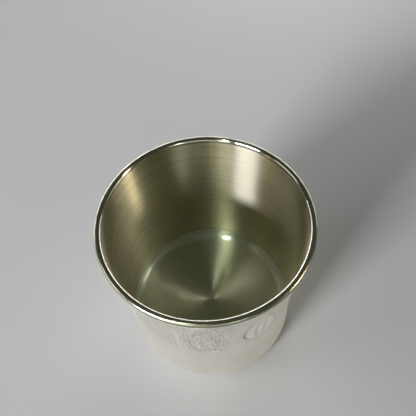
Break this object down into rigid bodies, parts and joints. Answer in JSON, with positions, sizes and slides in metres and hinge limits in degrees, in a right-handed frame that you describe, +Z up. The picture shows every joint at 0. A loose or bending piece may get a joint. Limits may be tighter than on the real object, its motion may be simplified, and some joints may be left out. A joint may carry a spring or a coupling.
{
  "type": "puja water cup",
  "caption": "Small silver water cup with a flared wall, rolled rim bead, turned foot and a carved band of medallions and lotus buds.",
  "frame": {"origin": "centre of the circle that the cup stands on", "axes": "+Z up along the cup's axis, -Y towards the side that the picture shows"},
  "size_m": [0.06, 0.06, 0.053],
  "materials": {
    "silver": "silver: satin brushed inside, frosted white outside with carving, polished bead"
  },
  "bodies": {
    "root": {"water_cup": "silver"}
  },
  "joints": []
}
